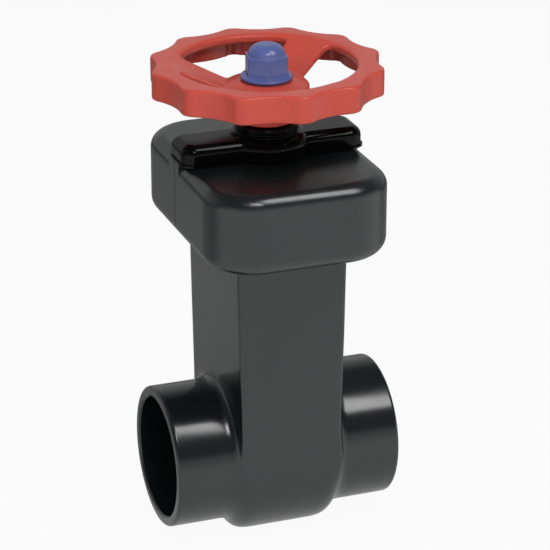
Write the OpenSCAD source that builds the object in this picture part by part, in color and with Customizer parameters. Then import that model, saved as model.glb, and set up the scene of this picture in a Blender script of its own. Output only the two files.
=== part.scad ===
// Hand-wheel gate valve for a solvent-cemented plastic pipe line.
// Millimetres. Z is up, the pipe runs along X, the stem axis is X = Y = 0
// and the flat base of the body stands on Z = 0.

/* [Pipe sockets] */
// Inside diameter of the solvent-cement sockets
socket_bore = 63; // [50:0.5:68]
// Outside diameter of the sockets
socket_od = 74; // [70:0.5:77]
// Depth of a socket up to its pipe stop
socket_depth = 38; // [34:0.5:40]
// Distance between the two socket mouths
face_to_face = 121; // [118:1:140]
// Diameter of the waterway between the pipe stops
port_d = 53; // [40:0.5:56]
// Radius of the hollow blend between the body and each socket
root_r = 5.5; // [3:0.5:6]
// Chamfer inside each socket mouth
mouth_chamfer = 0.9; // [0.3:0.1:1.5]
// Rounding of the outer rim of each mouth
mouth_round = 1.8; // [0.5:0.1:2.2]

/* [Body] */
// Width of the body along the pipe, at the pipe axis
body_x = 53.8; // [52:0.1:58]
// Widening of the body from the pipe axis up to its top
body_spread = 5.3; // [0.6:0.1:6]
// Depth of the body across the pipe
body_y = 78.8; // [78:0.2:84]
// Height of the pipe axis over the base
axis_h = 42; // [41:0.1:43]
// Height of the top face of the body
body_top = 181; // [178:1:184]
// Rounding of the upright edges of the body
body_edge_r = 3; // [1:0.5:4]
// Drop of the centre of the round bottom under the pipe axis
bowl_drop = 5.2; // [4.2:0.1:8]
// Rounding of the rim of the round bottom
bowl_rim_r = 11; // [4:0.5:12]
// Width of the gate cavity along the pipe
cavity_x = 18; // [14:0.5:22]
// Depth of the gate cavity across the pipe
cavity_y = 67; // [64:0.5:69]
// Thickness of the flange round the top of the body
flange_t = 10; // [7:0.5:14]

/* [Clamp shells] */
// Width of the clamp shells along the pipe
shell_x = 95.8; // [92:0.2:100]
// Depth of the two closed clamp shells across the pipe
shell_y = 128.6; // [124:0.2:134]
// Height of the underside of the clamp shells
shell_base = 161.5; // [158:0.5:164]
// Height of the top of the clamp shells
shell_top = 203.5; // [201:0.1:203.5]
// Rounding of the upright corners of the shells
shell_corner_r = 26.2; // [16:0.2:30]
// Rounding of the top edge of the shells
shell_top_r = 7.4; // [4:0.1:9]
// Rounding of the bottom edge of the shells
shell_foot_r = 8.4; // [4:0.1:9]
// Width of the parting line between the two shells
shell_gap = 0.6; // [0.4:0.1:1]
// Position of the parting line across the pipe
seam_y = 3; // [0:0.5:6]

/* [Bonnet] */
// Length of the bonnet bar along the pipe
bar_x = 96; // [90:0.5:100]
// Width of the bonnet bar across the pipe
bar_y = 26.6; // [24:0.2:30]
// Height of the top of the bonnet bar
bar_top = 214.3; // [212:0.1:215]
// Rounding of the upright corners of the bonnet bar
bar_corner_r = 7; // [4:0.5:10]
// Rounding of the top edge of the bonnet bar
bar_top_r = 5; // [2:0.5:5]
// Overhang of the thin lip under the bonnet bar
lip_w = 0.9; // [0.4:0.1:1.4]
// Thickness of the bonnet plate inside the shells
plate_t = 12; // [8:0.5:14]
// Diameter of the round boss in the middle of the bar
boss_d = 44; // [38:0.5:48]

/* [Gland] */
// Diameter of the gland nut head
gland_d = 31.8; // [28:0.2:36]
// Height of the gland nut head
gland_h = 4.7; // [4:0.1:6]
// Diameter of the stem
stem_d = 12; // [10:0.5:14]

/* [Handwheel] */
// Diameter of the handwheel over its lobes
wheel_d = 118; // [112:1:124]
// Height of the top of the rim
rim_top = 250.6; // [249:0.1:252]
// Height of the rim
rim_h = 13.8; // [11:0.2:15]
// Depth of the finger valleys between the lobes
valley = 3.8; // [2:0.1:5]
// Rounding of each lobe in plan
lobe_r = 8; // [6:0.5:10]
// Rounding of the top edge of the lobes
rim_top_r = 2; // [1:0.5:4]
// Rounding of the bottom edge of the lobes
rim_foot_r = 1; // [0.5:0.5:3]
// Diameter of the circle round the three wheel openings
opening_d = 91.4; // [86:0.2:94]
// Height of the hub face under the nut cap
hub_top = 240; // [239:0.1:241]
// Diameter of the hub
hub_d = 43; // [40:1:50]
// Diameter of the hub foot over the gland nut
hub_foot_d = 27.4; // [24:0.2:30]
// Width of a spoke
spoke_w = 19; // [12:0.5:21]
// Thickness of the dished web
web_t = 3.6; // [2.4:0.1:4.4]
// Thickness of the hanging wall of the rim
rim_wall = 3.6; // [3:0.1:4.2]
// Turn of the first spoke from the pipe axis
spoke_turn = 40.5; // [0:0.5:115]
// Turn of the first lobe from the pipe axis
lobe_turn = 28.5; // [0:0.5:29.5]

/* [Nut cap] */
// Width across flats of the nut cap
cap_af = 20; // [19.2:0.1:21]
// Diameter of the nut cap flange
cap_flange_d = 25.8; // [25.2:0.2:28]
// Thickness of the nut cap flange
cap_flange_t = 3.4; // [2.4:0.1:4]
// Height of the nut cap over the hub face
cap_h = 20; // [19:0.5:22]
// Rounding of the top of the nut cap
cap_round = 5; // [3:0.1:6]
// Diameter of the dome over the hexagon
dome_d = 17.6; // [17:0.1:19]
// Drop of the shoulder of the hexagon under the top
shoulder_drop = 4.1; // [3:0.1:6]

/* [Hidden] */
$fn = 96;
half = 0.5;
full = 360;
right_angle = 90;
clear = 0.3;
slip = 0.1;
e = 0.01;
over = 1;
bite = 0.05;

// body
body_hx = body_x * half;
body_hy = body_y * half;
slope = body_spread * half / (body_top - axis_h);
draft = atan(slope);
bowl_z = axis_h - bowl_drop;
bowl_r = body_hy;
prism_z = bowl_z + 3;
foot_hx = body_hx + (prism_z - axis_h) * slope;
bowl_hx = foot_hx + bite;
head_hx = body_hx + (body_top - axis_h) * slope;
edge_in = body_edge_r / cos(draft);
cavity_hx = cavity_x * half;
cavity_r = cavity_y * half;
flange_z = body_top - flange_t;
flange_w = 10;
flange_deep = 12.6;
flange_x = 2 * (head_hx + flange_w);
flange_y = body_y + 2 * flange_deep;
flange_r = 10;

// sockets, seats and gate
mouth_x = face_to_face * half;
stop_x = mouth_x - socket_depth;
spigot_t = 3.5;
spigot_x = stop_x - spigot_t;
root_lip = 0.35;
root_in = 0.6;
root_cut = 0.5;
seat_t = 4;
seat_w = 4.5;
seat_od = port_d + 2 * seat_w;
seat_x = cavity_hx + seat_t;
gate_t = cavity_x - 2 * clear;
gate_w = cavity_y - 2 * clear;
gate_lift = 4;
gate_neck = 20;
gate_z = axis_h + (port_d + gate_w) * half + gate_lift;
gate_top = gate_z + gate_w * half + gate_neck;
nut_x = 16;
nut_y = 2 * stem_d;
nut_t = 8;
nut_drop = 8;
nut_z = gate_top - nut_drop - nut_t;
stem_sunk = 5;
stem_foot = gate_z - stem_sunk;

// shells and bonnet
shell_hx = shell_x * half;
shell_hy = shell_y * half;
pocket_clear = 0.4;
plate_z = body_top;
plate_top = plate_z + plate_t;
slot_x = 70;
slot_y = 18;
slot_r = 5;
neck_d = 36;
pad_y = 15.2;
pad_mid = 4.2;
pad_in = 8;
pad_t = 8;
bar_base = shell_top + 0.4;
lip_t = 1.1;
lip_y = bar_y + 2 * lip_w;
boss_top = bar_top + 0.5;
boss_r = 5;
bar_round = min(bar_top_r, bar_corner_r - over, (bar_top - bar_base) * half - slip);
seal_in = 1.8;
seal_w = 2.5;
seal_t = 1.8;
seal_x = cavity_x + 2 * seal_in;
seal_y = cavity_y + 2 * seal_in;
seal_r = 4;

// stem and its packing
collar_d = 22;
collar_t = 5;
collar_drop = 18;
collar_z = boss_top - collar_drop;
ring_z = collar_z + collar_t + clear;
ring_t = 3;
packing_z = ring_z + ring_t;
packing_t = 4;
shank_z = packing_z + packing_t;
well_d = collar_d + 2 * clear;
shank_d = well_d - slip;
gland_z = boss_top + slip;
gland_top = gland_z + gland_h;
gland_groove = 0.8;
gland_round = 0.8;

// handwheel
wheel_r = wheel_d * half;
hub_foot = gland_top + 2 * clear;
rim_base = rim_top - rim_h;
wheel_foot = min(rim_base, hub_foot) - over;
wheel_span = max(rim_top, hub_top) + over - wheel_foot;
lobes = 12;
lobe_pitch = full / lobes;
lobe_tip = 0.3;
lobe_at = wheel_r - lobe_r + lobe_tip;
valley_in = wheel_r - valley;
lobe_run = lobe_at * cos(lobe_pitch * half);
valley_num = valley_in * valley_in + lobe_at * lobe_at - 2 * lobe_run * valley_in - lobe_r * lobe_r;
valley_r = valley_num / (2 * (lobe_r - valley_in + lobe_run));
valley_at = valley_in + valley_r;
opening_r = opening_d * half;
hub_r = hub_d * half;
face_r = opening_r + 1;
face_drop = 1;
hub_flat = hub_r - 1;
spokes = 3;
spoke_pitch = full / spokes;
spoke_h = spoke_w * half;
rim_corner = 10;
hub_corner = 3;
skirt_r = valley_in - rim_wall - 1;
stud_d = 10;
stud_sunk = 6;
stud_root = hub_top - stud_sunk;
washer_od = 22;
washer_t = 1.6;
nut_af = 17;
nut_h = 8;
stud_top = hub_top + washer_t + nut_h - 0.6;
hex_sides = 6;
hex_k = cos(full / hex_sides * half);
hex_turn = 15;
cap_r = cap_af * half / hex_k;
shoulder_fall = 0.6 * (cap_r - cap_af * half);
flange_round = 1.6;

black = [0.06, 0.06, 0.07];
grey = [0.27, 0.29, 0.30];
red = [0.74, 0.27, 0.22];
blue = [0.30, 0.36, 0.62];
steel = [0.70, 0.71, 0.72];
brass_c = [0.78, 0.62, 0.32];
rubber_c = [0.10, 0.10, 0.10];

// --- shared shapes -----------------------------------------------------
// A block on z = 0 with round upright edges.
module pillar(x, y, h, r) {
  translate([-x * half + r, -y * half, 0]) cube([x - 2 * r, y, h]);
  translate([-x * half, -y * half + r, 0]) cube([x, y - 2 * r, h]);
  for (sx = [-1, 1])
    for (sy = [-1, 1])
      translate([sx * (x * half - r), sy * (y * half - r), 0]) cylinder(r = r, h = h);
}

// Side outline of a block with round top and bottom edges.
module edge_outline(hx, h, rt, rb) {
  translate([-hx, rb]) square([2 * hx, h - rt - rb]);
  translate([-hx + rt, h - rt - e]) square([2 * (hx - rt), rt + e]);
  translate([-hx + rb, 0]) square([2 * (hx - rb), rb + e]);
  for (s = [-1, 1]) {
    translate([s * (hx - rt), h - rt]) circle(r = rt);
    translate([s * (hx - rb), rb]) circle(r = rb);
  }
}

// The right half of that outline, for a turned piece.
module turned_outline(r, h, rt, rb) {
  intersection() {
    edge_outline(r, h, rt, rb);
    square([r, h]);
  }
}

// A block with every edge rounded: upright corners rv, top rt, bottom rb.
module soft_block(hx, hy, h, rv, rt, rb) {
  translate([0, hy - rv, 0])
    rotate([right_angle, 0, 0])
      linear_extrude(2 * (hy - rv)) edge_outline(hx, h, rt, rb);
  translate([-(hx - rv), 0, 0])
    rotate([right_angle, 0, right_angle])
      linear_extrude(2 * (hx - rv)) edge_outline(hy, h, rt, rb);
  for (sx = [-1, 1])
    for (sy = [-1, 1])
      translate([sx * (hx - rv), sy * (hy - rv), 0]) rotate_extrude() turned_outline(rv, h, rt, rb);
}

// A flat ring on z = 0.
module ring(od, id, h) {
  difference() {
    cylinder(d = od, h = h);
    translate([0, 0, -over]) cylinder(d = id, h = h + 2 * over);
  }
}

// --- body ---------------------------------------------------------------
// Upright part of the body: both pipe sides lean out by the draft.
module drafted_slab(inset, depth) {
  foot = foot_hx - inset;
  head = head_hx - inset;
  translate([0, depth * half, 0])
    rotate([right_angle, 0, 0])
      linear_extrude(depth) polygon([[-foot, prism_z], [foot, prism_z], [head, body_top], [-head, body_top]]);
}

module drafted_edge(sx, sy) {
  rise = body_top - prism_z;
  translate([sx * (foot_hx - edge_in), sy * (body_hy - body_edge_r), prism_z])
    rotate([0, sx * draft, 0]) cylinder(r = body_edge_r + bite, h = rise / cos(draft) - over);
}

// Disc of the round bottom, its axis up, with both rims rounded.
module bowl_disc() {
  rotate_extrude() turned_outline(bowl_r, 2 * bowl_hx, bowl_rim_r, bowl_rim_r);
}

// Hollow blend from one side of the body out to the socket.
module root_outline() {
  inner = socket_od * half + root_lip;
  outer = inner + root_r - root_lip;
  face = body_hx - root_in;
  difference() {
    translate([inner - root_lip - over, face - over]) square([root_r + over, root_r + over]);
    translate([outer, face + root_r]) circle(r = root_r - root_lip);
  }
}

module root_blend(s) {
  intersection() {
    translate([0, 0, axis_h]) rotate([0, s * right_angle, 0]) rotate_extrude() root_outline();
    translate([-mouth_x, -body_hy + over, prism_z + root_cut])
      cube([face_to_face, body_y - 2 * over, socket_od + root_r]);
  }
}

module valve_body() {
  color(grey)
    difference() {
      union() {
        drafted_slab(0, body_y - 2 * body_edge_r);
        drafted_slab(edge_in, body_y);
        for (sx = [-1, 1])
          for (sy = [-1, 1])
            drafted_edge(sx, sy);
        intersection() {
          translate([-bowl_hx, 0, bowl_z]) rotate([0, right_angle, 0]) bowl_disc();
          translate([-bowl_hx, -body_hy, 0]) cube([2 * bowl_hx, body_y, bowl_z + bowl_r]);
        }
        for (s = [-1, 1])
          root_blend(s);
      }
      // gate cavity
      translate([-cavity_hx, 0, bowl_z]) rotate([0, right_angle, 0]) cylinder(r = cavity_r, h = cavity_x);
      translate([-cavity_hx, -cavity_r, bowl_z])
        cube([cavity_x, 2 * cavity_r, body_top - bowl_z + over]);
      // waterway, socket seats and seat ring grooves
      translate([-mouth_x, 0, axis_h]) rotate([0, right_angle, 0]) cylinder(d = port_d, h = face_to_face);
      for (s = [-1, 1])
        translate([s * mouth_x, 0, axis_h])
          rotate([0, -s * right_angle, 0]) cylinder(d = socket_od, h = mouth_x - spigot_x);
      translate([-seat_x, 0, axis_h]) rotate([0, right_angle, 0]) cylinder(d = seat_od, h = 2 * seat_x);
      seal_ring();
    }
}

module body_flange() {
  color(grey)
    translate([0, 0, flange_z])
      difference() {
        pillar(flange_x, flange_y, flange_t, flange_r);
        translate([0, 0, -over])
          pillar(2 * (head_hx + clear), body_y + 2 * clear, flange_t + 2 * over, body_edge_r);
      }
}

// --- sockets --------------------------------------------------------------
// Outline of a socket wall: radius across, distance from the body centre up.
module socket_outline() {
  ro = socket_od * half;
  ri = socket_bore * half;
  rp = port_d * half;
  difference() {
    union() {
      translate([rp, spigot_x]) square([ro - rp, mouth_x - spigot_x - mouth_round]);
      translate([ri - mouth_round, mouth_x - mouth_round - e]) square([ro - ri, mouth_round + e]);
      translate([ro - mouth_round, mouth_x - mouth_round]) circle(r = mouth_round);
    }
    translate([0, stop_x]) square([ri, socket_depth + over]);
    translate([0, mouth_x + e])
      polygon([[0, 0], [ri + mouth_chamfer, 0], [ri, -mouth_chamfer], [0, -mouth_chamfer]]);
    translate([0, spigot_x - over]) square([rp, mouth_x]);
  }
}

module socket_side(s) {
  color(grey)
    translate([0, 0, axis_h]) rotate([0, s * right_angle, 0]) rotate_extrude() socket_outline();
}

module socket_left() {
  socket_side(-1);
}

module socket_right() {
  socket_side(1);
}

// --- seats and gate --------------------------------------------------------
module seat_side(s) {
  color(rubber_c)
    translate([s * seat_x, 0, axis_h]) rotate([0, -s * right_angle, 0]) ring(seat_od, port_d, seat_t);
}

module seat_left() {
  seat_side(-1);
}

module seat_right() {
  seat_side(1);
}

// Hole for the stem through a piece that reaches from z0 to z1.
module stem_hole(z0, z1) {
  translate([0, 0, z0 - over]) cylinder(d = stem_d + 2 * clear, h = z1 - z0 + 2 * over);
}

module gate() {
  color(grey)
    difference() {
      union() {
        translate([-gate_t * half, 0, gate_z])
          rotate([0, right_angle, 0]) cylinder(d = gate_w, h = gate_t);
        translate([-gate_t * half, -gate_w * half, gate_z])
          cube([gate_t, gate_w, gate_top - gate_z]);
      }
      stem_hole(stem_foot - over, gate_top);
      translate([-gate_t, -nut_y * half, nut_z]) cube([2 * gate_t, nut_y, nut_t]);
    }
}

module gate_nut() {
  color(brass_c)
    difference() {
      translate([-nut_x * half, -nut_y * half + clear, nut_z + clear])
        cube([nut_x, nut_y - 2 * clear, nut_t - 2 * clear]);
      stem_hole(nut_z, nut_z + nut_t);
    }
}

// --- stem -----------------------------------------------------------------
module stem() {
  color(steel)
    union() {
      translate([0, 0, stem_foot]) cylinder(d = stem_d, h = stud_root - stem_foot);
      translate([0, 0, stud_root - e]) cylinder(d = stud_d, h = stud_top - stud_root + e);
      translate([0, 0, collar_z]) cylinder(d = collar_d, h = collar_t);
    }
}

// --- bonnet ------------------------------------------------------------------
module seal_ring() {
  translate([0, 0, body_top - seal_t])
    difference() {
      pillar(seal_x + 2 * seal_w, seal_y + 2 * seal_w, seal_t, seal_r + seal_w);
      translate([0, 0, -over]) pillar(seal_x, seal_y, seal_t + 2 * over, seal_r);
    }
}

module bonnet_seal() {
  color(rubber_c) seal_ring();
}

module bonnet() {
  lip_z = bar_base + lip_t;
  color(black)
    difference() {
      union() {
        translate([0, 0, plate_z]) pillar(flange_x, flange_y, plate_t, flange_r);
        translate([0, 0, plate_z]) pillar(slot_x, slot_y, lip_z - plate_z, slot_r);
        translate([0, 0, plate_z]) cylinder(d = neck_d, h = lip_z - plate_z);
        translate([0, 0, bar_base]) pillar(bar_x + 2 * lip_w, lip_y, lip_t, bar_corner_r + lip_w);
        translate([0, 0, bar_base])
          soft_block(bar_x * half, bar_y * half, bar_top - bar_base, bar_corner_r, bar_round, lip_t * half);
        translate([0, 0, bar_base])
          rotate_extrude() turned_outline(boss_d * half, boss_top - bar_base, boss_r, lip_t * half);
      }
      stem_hole(plate_z, boss_top);
      translate([0, 0, collar_z - clear]) cylinder(d = well_d, h = boss_top - collar_z + over);
    }
}

module thrust_ring() {
  color(brass_c) translate([0, 0, ring_z]) ring(shank_d, stem_d + 2 * clear, ring_t);
}

module stem_seal() {
  color(rubber_c) translate([0, 0, packing_z]) ring(shank_d, stem_d + 2 * clear, packing_t);
}

module gland_nut() {
  groove_z = gland_z + gland_h * half - gland_groove;
  color(black)
    difference() {
      union() {
        translate([0, 0, shank_z]) cylinder(d = shank_d, h = gland_z - shank_z + e);
        translate([0, 0, gland_z])
          rotate_extrude() turned_outline(gland_d * half, gland_h, gland_round, gland_round);
      }
      translate([0, 0, groove_z]) ring(gland_d + over, gland_d - 2 * gland_groove, gland_groove);
      stem_hole(shank_z, gland_top);
    }
}

// --- clamp shells --------------------------------------------------------------
// Space inside both shells for the body, its flange, the bonnet plate and neck.
module shell_space() {
  pc = pocket_clear;
  translate([0, 0, shell_base - over])
    pillar(2 * (head_hx + pc), body_y + 2 * pc, flange_z - shell_base + 2 * over, body_edge_r);
  translate([0, 0, flange_z - slip])
    pillar(flange_x + 2 * pc, flange_y + 2 * pc, plate_top - flange_z + 2 * slip, flange_r);
  translate([0, 0, plate_top - over])
    pillar(slot_x + 2 * pc, slot_y + 2 * pc, shell_top - plate_top + 2 * over, slot_r);
  translate([0, 0, plate_top - over]) cylinder(d = neck_d + 2 * pc, h = shell_top - plate_top + 2 * over);
}

// Both closed shells in one piece, with the pads under the ends of the bar.
module shell_block() {
  difference() {
    union() {
      translate([0, 0, shell_base])
        soft_block(shell_hx, shell_hy, shell_top - shell_base, shell_corner_r, shell_top_r, shell_foot_r);
      for (s = [-1, 1])
        translate([s * (shell_hx - pad_in * half) - pad_in * half, pad_mid - pad_y * half, shell_top - pad_t])
          cube([pad_in, pad_y, pad_t]);
    }
    shell_space();
  }
}

module clamp_front() {
  color(grey)
    difference() {
      shell_block();
      translate([-shell_x, seam_y - shell_gap * half, 0]) cube([2 * shell_x, shell_y, shell_top + over]);
    }
}

module clamp_back() {
  color(grey)
    difference() {
      shell_block();
      translate([-shell_x, seam_y + shell_gap * half - shell_y, 0])
        cube([2 * shell_x, shell_y, shell_top + over]);
    }
}

// --- handwheel -------------------------------------------------------------------
// Plan of the rim, drawn in by t: round lobes with a hollow valley between each two.
module lobe_outline(t) {
  difference() {
    union() {
      circle(r = lobe_at);
      for (k = [0 : lobes - 1])
        rotate(lobe_turn + k * lobe_pitch) {
          translate([lobe_at, 0]) circle(r = lobe_r - t);
          rotate(lobe_pitch * half)
            polygon([[0, 0], [lobe_run, -lobe_run * tan(lobe_pitch * half)], [valley_at, 0],
              [lobe_run, lobe_run * tan(lobe_pitch * half)]]);
        }
    }
    for (k = [0 : lobes - 1])
      rotate(lobe_turn + (k + half) * lobe_pitch) translate([valley_at, 0]) circle(r = valley_r + t + bite);
  }
}

// Section of the wheel: radius across, height up.
module wheel_section() {
  face_z = rim_top - face_drop;
  translate([skirt_r, rim_base]) square([wheel_r - rim_foot_r - skirt_r, rim_h]);
  translate([skirt_r, rim_base + rim_foot_r]) square([wheel_r - skirt_r, rim_h - rim_foot_r - rim_top_r]);
  translate([wheel_r - rim_foot_r, rim_base + rim_foot_r]) circle(r = rim_foot_r);
  intersection() {
    translate([wheel_r - rim_top_r, rim_top - rim_top_r]) circle(r = rim_top_r);
    translate([skirt_r, rim_base]) square([wheel_r, rim_h]);
  }
  polygon([
    [0, hub_top - web_t], [hub_flat, hub_top - web_t], [face_r, face_z - web_t],
    [skirt_r + over, face_z - web_t], [skirt_r + over, rim_top], [face_r + 2 * face_drop, rim_top],
    [face_r, face_z], [hub_flat, hub_top], [0, hub_top]
  ]);
}

// Room under the face of the rim, inside its hanging wall.
module rim_room() {
  intersection() {
    translate([0, 0, rim_base - over]) linear_extrude(rim_h) lobe_outline(rim_wall);
    translate([0, 0, rim_base - over]) ring(wheel_d, 2 * (skirt_r - over), rim_h - face_drop - web_t + over);
  }
}

// One rounded inner corner of a wheel opening, beside a spoke along X.
// It is the patch between the round corner and the meeting of spoke and circle.
module corner_patch(edge_r, r, way) {
  at_r = edge_r - way * r;
  at_y = spoke_h + r;
  at_x = sqrt(at_r * at_r - at_y * at_y);
  grow = (edge_r + way) / at_r;
  tip_x = sqrt(edge_r * edge_r - spoke_h * spoke_h) + way * over;
  difference() {
    polygon([[at_x, at_y], [at_x, spoke_h - over], [tip_x, spoke_h - over], [at_x * grow, at_y * grow]]);
    translate([at_x, at_y]) circle(r = r + bite);
  }
}

// What the three openings leave standing, between the hub and the rim.
module spoke_outline() {
  translate([0, -spoke_h]) square([opening_r + over, spoke_w]);
  for (s = [0, 1])
    mirror([0, s]) {
      corner_patch(opening_r, rim_corner, 1);
      corner_patch(hub_r, hub_corner, -1);
    }
}

module opening_cut() {
  difference() {
    circle(r = opening_r);
    circle(r = hub_r);
    for (k = [0 : spokes - 1])
      rotate(spoke_turn + k * spoke_pitch) spoke_outline();
  }
}

module handwheel() {
  color(red)
    difference() {
      union() {
        intersection() {
          rotate_extrude() wheel_section();
          translate([0, 0, wheel_foot]) linear_extrude(wheel_span) lobe_outline(0);
        }
        translate([0, 0, hub_foot]) cylinder(d = hub_foot_d, h = hub_top - hub_foot - over);
      }
      rim_room();
      translate([0, 0, wheel_foot]) linear_extrude(wheel_span) opening_cut();
      translate([0, 0, hub_foot - over]) cylinder(d = stem_d + 2 * clear, h = stud_root - hub_foot + over);
      translate([0, 0, hub_foot]) cylinder(d = stud_d + 2 * clear, h = hub_top - hub_foot + over);
    }
}

module wheel_washer() {
  color(steel) translate([0, 0, hub_top]) ring(washer_od, stud_d + 2 * clear, washer_t);
}

module wheel_nut() {
  color(steel)
    translate([0, 0, hub_top + washer_t])
      difference() {
        rotate([0, 0, hex_turn]) cylinder(d = nut_af / hex_k, h = nut_h, $fn = hex_sides);
        translate([0, 0, -over]) cylinder(d = stud_d + 2 * slip, h = nut_h + 2 * over);
      }
}

// Section of the cap: a dome over the sloping shoulder of the hexagon.
module cap_section() {
  shoulder_z = cap_h - shoulder_drop;
  turned_outline(dome_d * half, cap_h, cap_round, slip);
  polygon([[0, 0], [cap_r + slip, 0], [cap_r + slip, shoulder_z - shoulder_fall], [cap_af * half, shoulder_z],
    [0, shoulder_z]]);
}

module nut_cap() {
  room = hub_top + washer_t + nut_h + clear;
  color(blue)
    difference() {
      translate([0, 0, hub_top])
        union() {
          rotate_extrude() turned_outline(cap_flange_d * half, cap_flange_t, flange_round, flange_round);
          intersection() {
            rotate([0, 0, hex_turn]) cylinder(r = cap_r, h = cap_h, $fn = hex_sides);
            rotate_extrude() cap_section();
          }
        }
      translate([0, 0, hub_top - over]) cylinder(d = washer_od + 4 * slip, h = over + washer_t + slip);
      translate([0, 0, hub_top - over])
        rotate([0, 0, hex_turn])
          cylinder(d = nut_af / hex_k + 2 * slip, h = room - hub_top + over, $fn = hex_sides);
    }
}

valve_body();
body_flange();
socket_left();
socket_right();
seat_left();
seat_right();
gate();
gate_nut();
stem();
bonnet_seal();
bonnet();
clamp_front();
clamp_back();
thrust_ring();
stem_seal();
gland_nut();
handwheel();
wheel_washer();
wheel_nut();
nut_cap();
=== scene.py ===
"""Looks of a plastic gate valve for a solvent-cemented pipe line.

A dark moulded body with two pipe sockets, a two-part clamp cover, a glossy
black bonnet with its gland, a red lobed handwheel and a blue nut cap. Sizes in
the fields are millimetres and angles are degrees unless they say otherwise,
and meshes are metres. A run is the reach of the soft passage between two
surfaces.
"""

import logging
import math
from dataclasses import dataclass
from enum import Enum

import bmesh
import bpy
from mathutils import Matrix, Vector


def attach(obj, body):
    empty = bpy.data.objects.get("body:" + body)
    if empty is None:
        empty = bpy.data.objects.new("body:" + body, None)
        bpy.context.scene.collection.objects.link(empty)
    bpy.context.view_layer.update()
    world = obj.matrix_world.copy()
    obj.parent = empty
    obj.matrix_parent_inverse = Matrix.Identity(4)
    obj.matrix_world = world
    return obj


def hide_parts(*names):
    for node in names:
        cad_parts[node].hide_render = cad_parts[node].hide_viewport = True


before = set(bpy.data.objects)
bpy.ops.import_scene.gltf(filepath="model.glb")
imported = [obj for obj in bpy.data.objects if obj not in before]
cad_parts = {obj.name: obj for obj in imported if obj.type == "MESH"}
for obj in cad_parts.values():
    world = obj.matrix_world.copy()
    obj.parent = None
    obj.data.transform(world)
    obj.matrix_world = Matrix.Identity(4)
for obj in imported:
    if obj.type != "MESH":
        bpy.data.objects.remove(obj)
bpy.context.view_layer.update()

MM = 0.001

log = logging.getLogger("gate_valve")

Colour = tuple[float, float, float]
Point = tuple[float, float, float]
Span = tuple[float, float]
Socket = bpy.types.NodeSocket


class Body(Enum):
    """The two rigid bodies that move against each other."""

    HOUSING = "housing"
    WHEEL = "wheel"


class Slot(Enum):
    """Material slots of the record, one named for each piece here."""

    BODY = "body_plastic"
    BONNET = "bonnet_plastic"
    WHEEL = "wheel_plastic"
    CAP = "cap_plastic"


# --- number fields in node trees ----------------------------------------------
class Number:
    """A number field of a node tree. Arithmetic on it adds Math nodes."""

    def __init__(self, tree: bpy.types.NodeTree, socket: Socket) -> None:
        """Wrap a socket of a tree."""
        self.tree = tree
        self.socket = socket

    def math(self, operation: str, *others: "Number | float") -> "Number":
        """Add a Math node.

        Args:
            operation: Blender's name of the operation.
            others: Its second and third inputs.

        Returns:
            The node's result.
        """
        node = self.tree.nodes.new("ShaderNodeMath")
        node.operation = operation
        for slot, value in zip(node.inputs, (self, *others)):
            if isinstance(value, Number):
                self.tree.links.new(value.socket, slot)
            else:
                slot.default_value = value
        return Number(self.tree, node.outputs[0])

    def __add__(self, other: "Number | float") -> "Number":
        """Sum."""
        return self.math("ADD", other)

    def __sub__(self, other: "Number | float") -> "Number":
        """Difference."""
        return self.math("SUBTRACT", other)

    def __mul__(self, other: "Number | float") -> "Number":
        """Product."""
        return self.math("MULTIPLY", other)

    def __truediv__(self, other: "Number | float") -> "Number":
        """Quotient."""
        return self.math("DIVIDE", other)

    def __neg__(self) -> "Number":
        """Opposite."""
        return self.math("MULTIPLY", -1.0)

    def __abs__(self) -> "Number":
        """Size without sign."""
        return self.math("ABSOLUTE")

    def above(self, other: "Number | float") -> "Number":
        """The greater of two."""
        return self.math("MAXIMUM", other)

    def below(self, other: "Number | float") -> "Number":
        """The smaller of two."""
        return self.math("MINIMUM", other)

    def soft_above(self, other: "Number | float", run: "Number | float") -> "Number":
        """The greater of two, with a round passage of this run."""
        return self.math("SMOOTH_MAX", other, run)

    def soft_below(self, other: "Number | float", run: "Number | float") -> "Number":
        """The smaller of two, with a round passage of this run."""
        return self.math("SMOOTH_MIN", other, run)

    def hypot(self, other: "Number | float") -> "Number":
        """Length of the diagonal."""
        second = other * other
        return (self * self + second).math("SQRT")

    def folded(self, start: float, count: int) -> "Number":
        """Angle in radians from the nearest of count even directions, one of them at start."""
        half_pitch = math.pi / count
        return abs((self - math.radians(start)).math("WRAP", half_pitch, -half_pitch))

    def step(self, start: float, end: float) -> "Number":
        """A smooth step from 0 at start to 1 at end.

        Args:
            start: Where it begins.
            end: Where it is complete.

        Returns:
            The step.
        """
        node = self.tree.nodes.new("ShaderNodeMapRange")
        node.interpolation_type = "SMOOTHSTEP"
        node.inputs["From Min"].default_value = start
        node.inputs["From Max"].default_value = end
        self.tree.links.new(self.socket, node.inputs["Value"])
        return Number(self.tree, node.outputs["Result"])


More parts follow.
